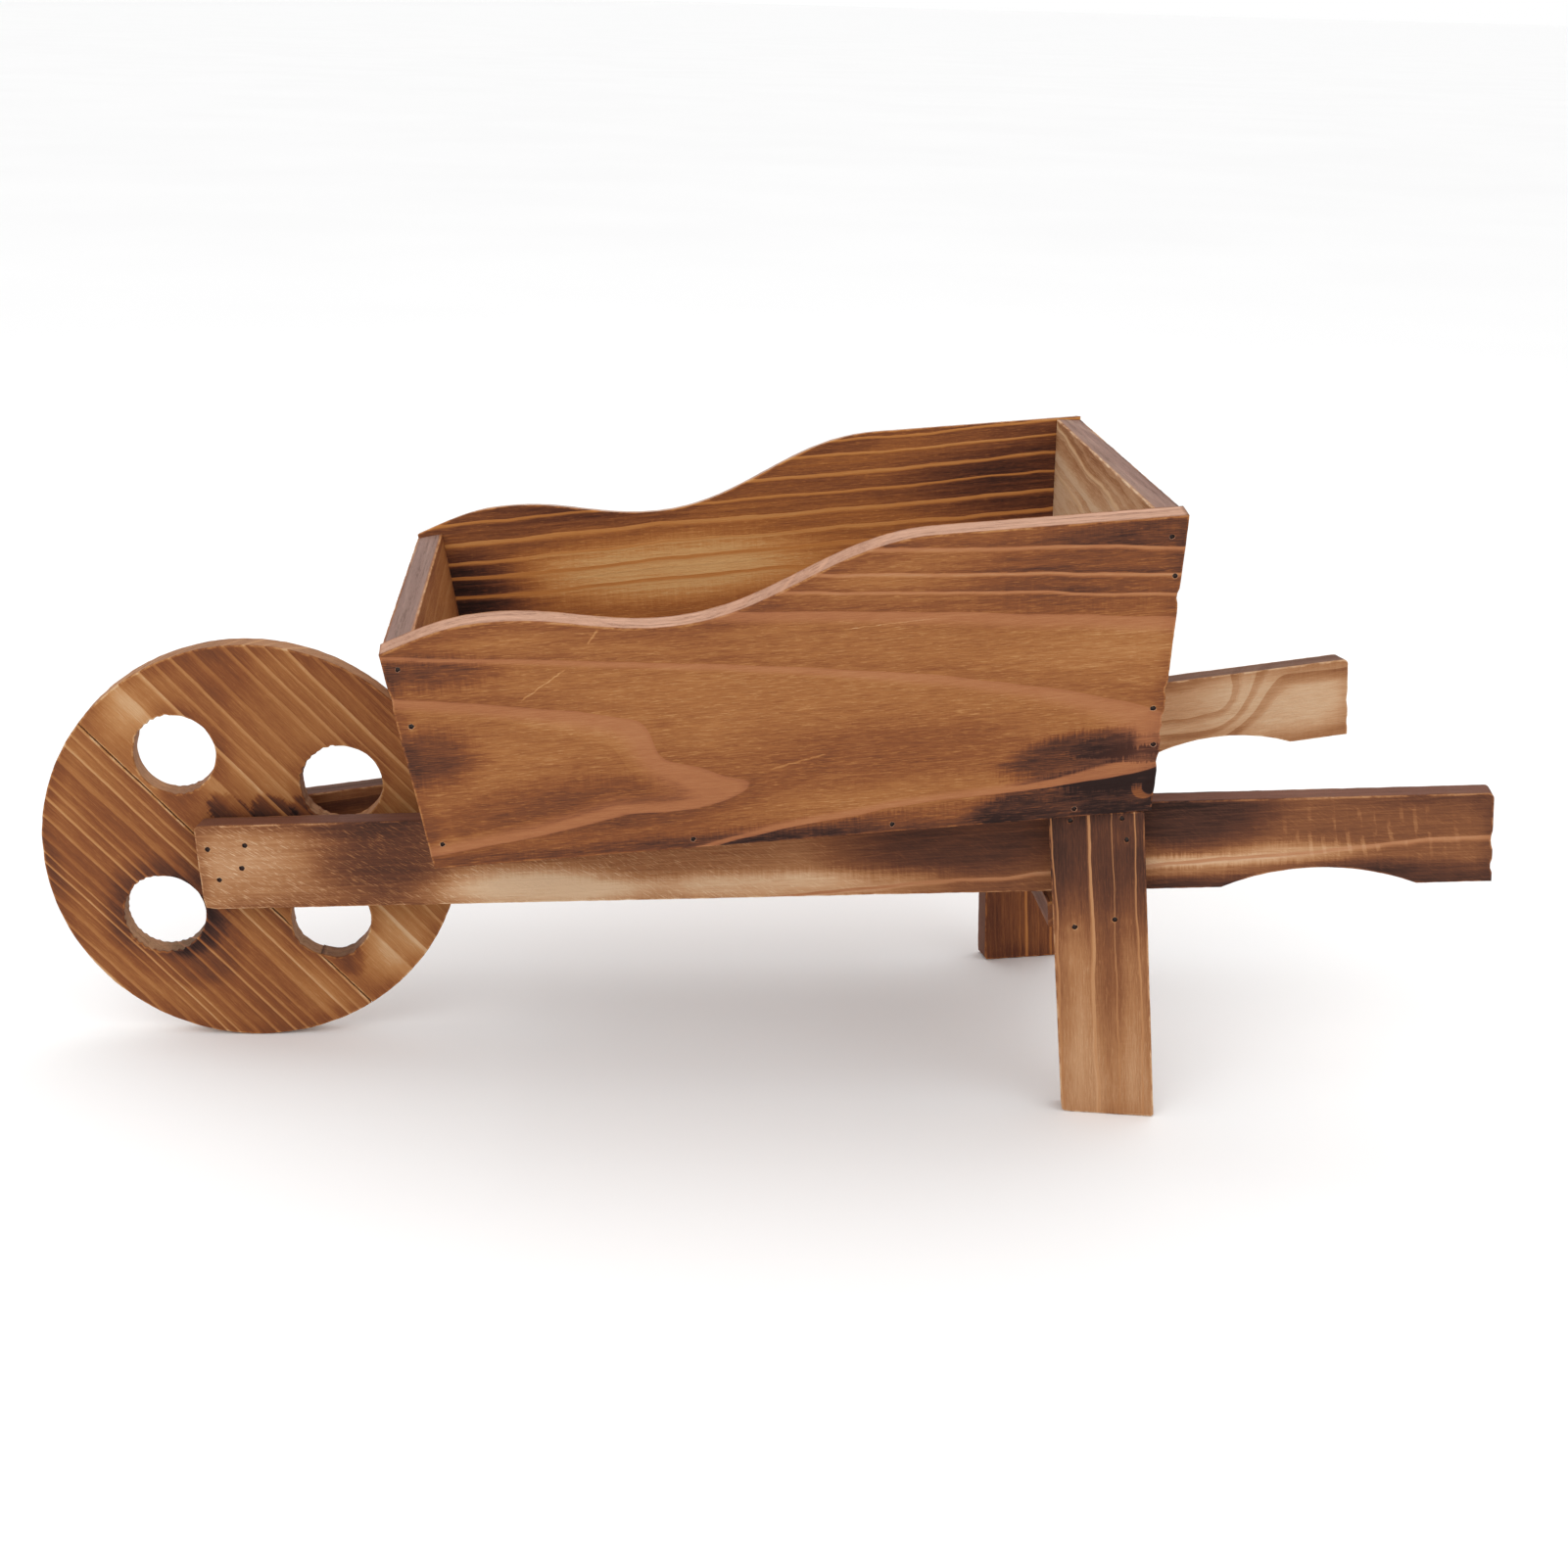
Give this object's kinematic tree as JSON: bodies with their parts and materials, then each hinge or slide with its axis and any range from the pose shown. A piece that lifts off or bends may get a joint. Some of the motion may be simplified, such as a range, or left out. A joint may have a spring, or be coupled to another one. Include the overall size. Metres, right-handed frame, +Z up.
{
  "type": "wheelbarrow",
  "caption": "Small wooden garden-planter wheelbarrow: flared tray with wave-topped sides on splayed handle rails, holed disc wheel in front, board legs behind.",
  "frame": {"origin": "middle of the bounding box, on the ground that the wheel and legs stand on", "axes": "+X from the wheel to the grips, +Y to the right of a person who pushes it, +Z up"},
  "size_m": [0.5996, 0.228, 0.2612],
  "materials": {
    "side_fir": "scorched and brushed fir, satin; reddish latewood bands on mid brown",
    "end_fir": "scorched and brushed fir, satin; dark edges and a paler inner face",
    "rail_fir": "scorched and brushed fir, satin; dark brown with pale bands along the grain",
    "leg_fir": "scorched and brushed fir, satin; dark at the top and pale tan at the foot",
    "wheel_fir": "scorched and brushed fir, satin; thin pale grain lines and sawn rough rims",
    "dowel_wood": "plain turned wood",
    "brad_steel": "dull steel wire, sunk below the wood"
  },
  "bodies": {
    "barrow": {"axle_dowel": "dowel_wood", "left_rail": "rail_fir", "right_rail": "rail_fir", "left_side_board": "side_fir", "right_side_board": "side_fir", "front_board": "end_fir", "rear_board": "end_fir", "floor_board": "end_fir", "left_leg": "leg_fir", "right_leg": "leg_fir", "leg_brace": "leg_fir", "left_axle_brads": "brad_steel", "left_rail_end_brads": "brad_steel", "left_front_corner_brads": "brad_steel", "left_rear_corner_brads": "brad_steel", "left_floor_brads": "brad_steel", "left_leg_brads": "brad_steel", "left_brace_brads": "brad_steel", "right_axle_brads": "brad_steel", "right_rail_end_brads": "brad_steel", "right_front_corner_brads": "brad_steel", "right_rear_corner_brads": "brad_steel", "right_floor_brads": "brad_steel", "right_leg_brads": "brad_steel", "right_brace_brads": "brad_steel", "tray_to_rail_brads": "brad_steel"},
    "wheel": {"wheel_main_board": "wheel_fir", "wheel_edge_board": "wheel_fir"}
  },
  "joints": [
    {"name": "wheel_spin", "type": "hinge", "parent": "barrow", "child": "wheel", "pos_m": [-0.2108, 0, 0.089], "axis": [0, 1, 0], "continuous": true}
  ]
}
